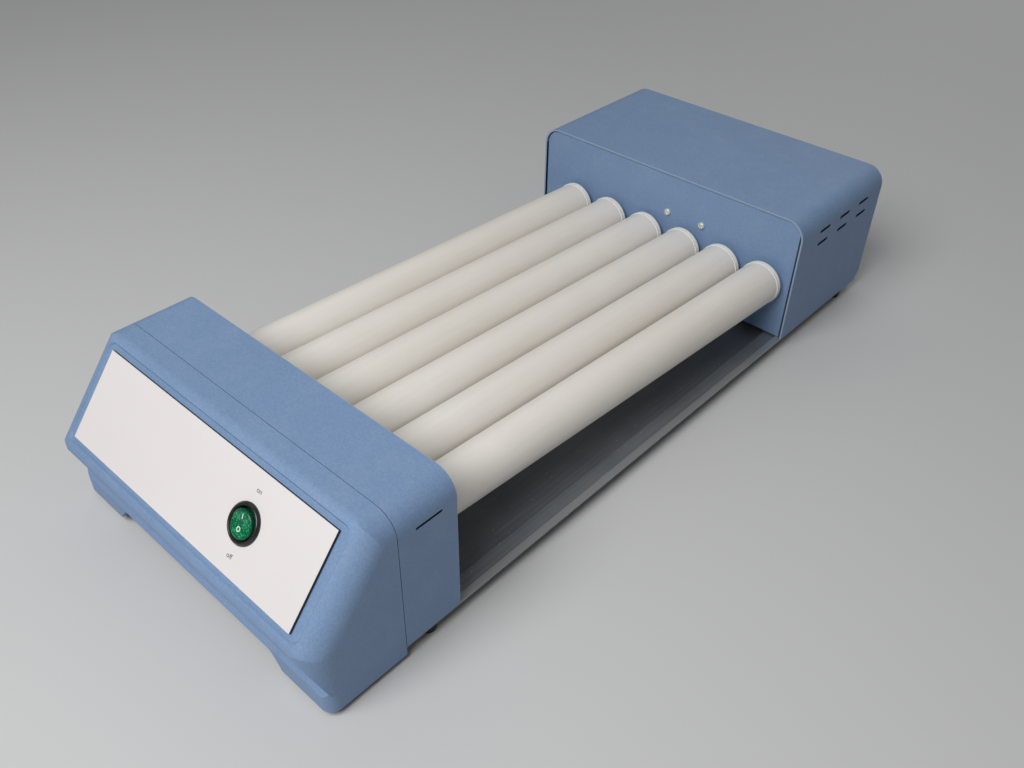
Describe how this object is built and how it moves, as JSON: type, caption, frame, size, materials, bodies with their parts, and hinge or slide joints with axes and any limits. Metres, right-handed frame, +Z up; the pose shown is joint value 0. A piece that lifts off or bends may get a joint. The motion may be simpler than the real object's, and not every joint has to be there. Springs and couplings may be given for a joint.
{
  "type": "roller mixer",
  "caption": "Benchtop roller mixer: skewed rollers in a row between two sheet metal housings on a low tray, with a sloping control end and a round rocker switch.",
  "frame": {"origin": "on the bench under the middle of the machine's length and width", "axes": "+Z up, -Y towards the control end, +X to the right as seen from the control end; the rollers run along Y"},
  "size_m": [0.24, 0.564, 0.108],
  "materials": {
    "blue_paint": "fine textured powder coat",
    "bezel_blue": "moulding with the same textured blue paint",
    "label_film": "satin printed plate, left bare",
    "tray_steel": "satin folded sheet",
    "roller_sleeve": "warm off-white, softly ribbed by use",
    "cap_white": "moulded end cap",
    "bush_plastic": "moulded plain bush",
    "gear_nylon": "moulded gear",
    "plain_steel": "turned steel",
    "zinc_case": "cast gearbox",
    "motor_can": "drawn can",
    "plated_screw": "zinc plated",
    "switch_black": "gloss",
    "rocker_green": "translucent green",
    "terminal_brass": "tinned blades",
    "inlet_black": "moulded",
    "foot_rubber": "matte",
    "block_nylon": "moulded"
  },
  "bodies": {
    "housing": {"base_pan": "tray_steel", "front_bezel": "bezel_blue", "label_panel": "label_film", "front_cover": "blue_paint", "rear_cover": "blue_paint", "front_end_panel": "blue_paint", "rear_end_panel": "blue_paint", "rear_back_panel": "blue_paint", "front_bushes": "bush_plastic", "rear_bushes": "bush_plastic", "idler_pins": "plain_steel", "idler_clips": "plain_steel", "motor_gearbox": "zinc_case", "motor_body": "motor_can", "motor_standoffs": "plain_steel", "motor_screws": "plated_screw", "switch_body": "switch_black", "switch_terminals": "terminal_brass", "mains_inlet": "inlet_black", "inlet_pins": "terminal_brass", "inlet_screws": "plated_screw", "rubber_feet": "foot_rubber", "foot_screws": "plated_screw", "cover_blocks": "block_nylon", "cover_screws": "plated_screw", "bezel_screws": "plated_screw"},
    "roller_1": {"roller_1_tube": "roller_sleeve", "roller_1_front_cap": "cap_white", "roller_1_rear_cap": "cap_white", "roller_1_gear": "gear_nylon"},
    "roller_2": {"roller_2_tube": "roller_sleeve", "roller_2_front_cap": "cap_white", "roller_2_rear_cap": "cap_white", "roller_2_gear": "gear_nylon"},
    "roller_3": {"roller_3_tube": "roller_sleeve", "roller_3_front_cap": "cap_white", "roller_3_rear_cap": "cap_white", "roller_3_gear": "gear_nylon"},
    "roller_4": {"roller_4_tube": "roller_sleeve", "roller_4_front_cap": "cap_white", "roller_4_rear_cap": "cap_white", "roller_4_gear": "gear_nylon"},
    "roller_5": {"roller_5_tube": "roller_sleeve", "roller_5_front_cap": "cap_white", "roller_5_rear_cap": "cap_white", "roller_5_gear": "gear_nylon"},
    "roller_6": {"roller_6_tube": "roller_sleeve", "roller_6_front_cap": "cap_white", "roller_6_rear_cap": "cap_white", "roller_6_gear": "gear_nylon"},
    "idler_1": {"idler_gear_1": "gear_nylon"},
    "idler_2": {"idler_gear_2": "gear_nylon"},
    "idler_3": {"idler_gear_3": "gear_nylon"},
    "idler_4": {"idler_gear_4": "gear_nylon"},
    "idler_5": {"idler_gear_5": "gear_nylon"},
    "drive_shaft": {"motor_shaft": "plain_steel", "motor_pinion": "plain_steel"},
    "rocker": {"switch_rocker": "rocker_green"}
  },
  "joints": [
    {"name": "roller_1_spin", "type": "hinge", "parent": "housing", "child": "roller_1", "pos_m": [-0.08875, -0.011, 0.054], "axis": [0, 1, 0], "continuous": true},
    {"name": "roller_2_spin", "type": "hinge", "parent": "housing", "child": "roller_2", "pos_m": [-0.05325, -0.011, 0.054], "axis": [0, 1, 0], "continuous": true},
    {"name": "roller_3_spin", "type": "hinge", "parent": "housing", "child": "roller_3", "pos_m": [-0.01775, -0.011, 0.054], "axis": [0, 1, 0], "continuous": true},
    {"name": "roller_4_spin", "type": "hinge", "parent": "housing", "child": "roller_4", "pos_m": [0.01775, -0.011, 0.054], "axis": [0, 1, 0], "continuous": true},
    {"name": "roller_5_spin", "type": "hinge", "parent": "housing", "child": "roller_5", "pos_m": [0.05325, -0.011, 0.054], "axis": [0, 1, 0], "continuous": true},
    {"name": "roller_6_spin", "type": "hinge", "parent": "housing", "child": "roller_6", "pos_m": [0.08875, -0.011, 0.054], "axis": [0, 1, 0], "continuous": true},
    {"name": "idler_1_spin", "type": "hinge", "parent": "housing", "child": "idler_1", "pos_m": [-0.071, 0.1712, 0.05101], "axis": [0, 1, 0], "continuous": true},
    {"name": "idler_2_spin", "type": "hinge", "parent": "housing", "child": "idler_2", "pos_m": [-0.0355, 0.1712, 0.05101], "axis": [0, 1, 0], "continuous": true},
    {"name": "idler_3_spin", "type": "hinge", "parent": "housing", "child": "idler_3", "pos_m": [0, 0.1712, 0.05101], "axis": [0, 1, 0], "continuous": true},
    {"name": "idler_4_spin", "type": "hinge", "parent": "housing", "child": "idler_4", "pos_m": [0.0355, 0.1712, 0.05101], "axis": [0, 1, 0], "continuous": true},
    {"name": "idler_5_spin", "type": "hinge", "parent": "housing", "child": "idler_5", "pos_m": [0.071, 0.1712, 0.05101], "axis": [0, 1, 0], "continuous": true},
    {"name": "motor_spin", "type": "hinge", "parent": "housing", "child": "drive_shaft", "pos_m": [0.0216, 0.1712, 0.06953], "axis": [0, 1, 0], "continuous": true},
    {"name": "power_rocker", "type": "hinge", "parent": "housing", "child": "rocker", "pos_m": [0.047, -0.25862, 0.08016], "axis": [-1, 0, 0], "range_deg": [0, 12]}
  ],
  "couplings": [
    {"joint": "roller_2_spin", "follows": "roller_1_spin", "ratio": 1},
    {"joint": "roller_3_spin", "follows": "roller_1_spin", "ratio": 1},
    {"joint": "roller_4_spin", "follows": "roller_1_spin", "ratio": 1},
    {"joint": "roller_5_spin", "follows": "roller_1_spin", "ratio": 1},
    {"joint": "roller_6_spin", "follows": "roller_1_spin", "ratio": 1},
    {"joint": "idler_1_spin", "follows": "roller_1_spin", "ratio": -1},
    {"joint": "idler_2_spin", "follows": "roller_1_spin", "ratio": -1},
    {"joint": "idler_3_spin", "follows": "roller_1_spin", "ratio": -1},
    {"joint": "idler_4_spin", "follows": "roller_1_spin", "ratio": -1},
    {"joint": "idler_5_spin", "follows": "roller_1_spin", "ratio": -1},
    {"joint": "motor_spin", "follows": "roller_1_spin", "ratio": -1.2857}
  ]
}
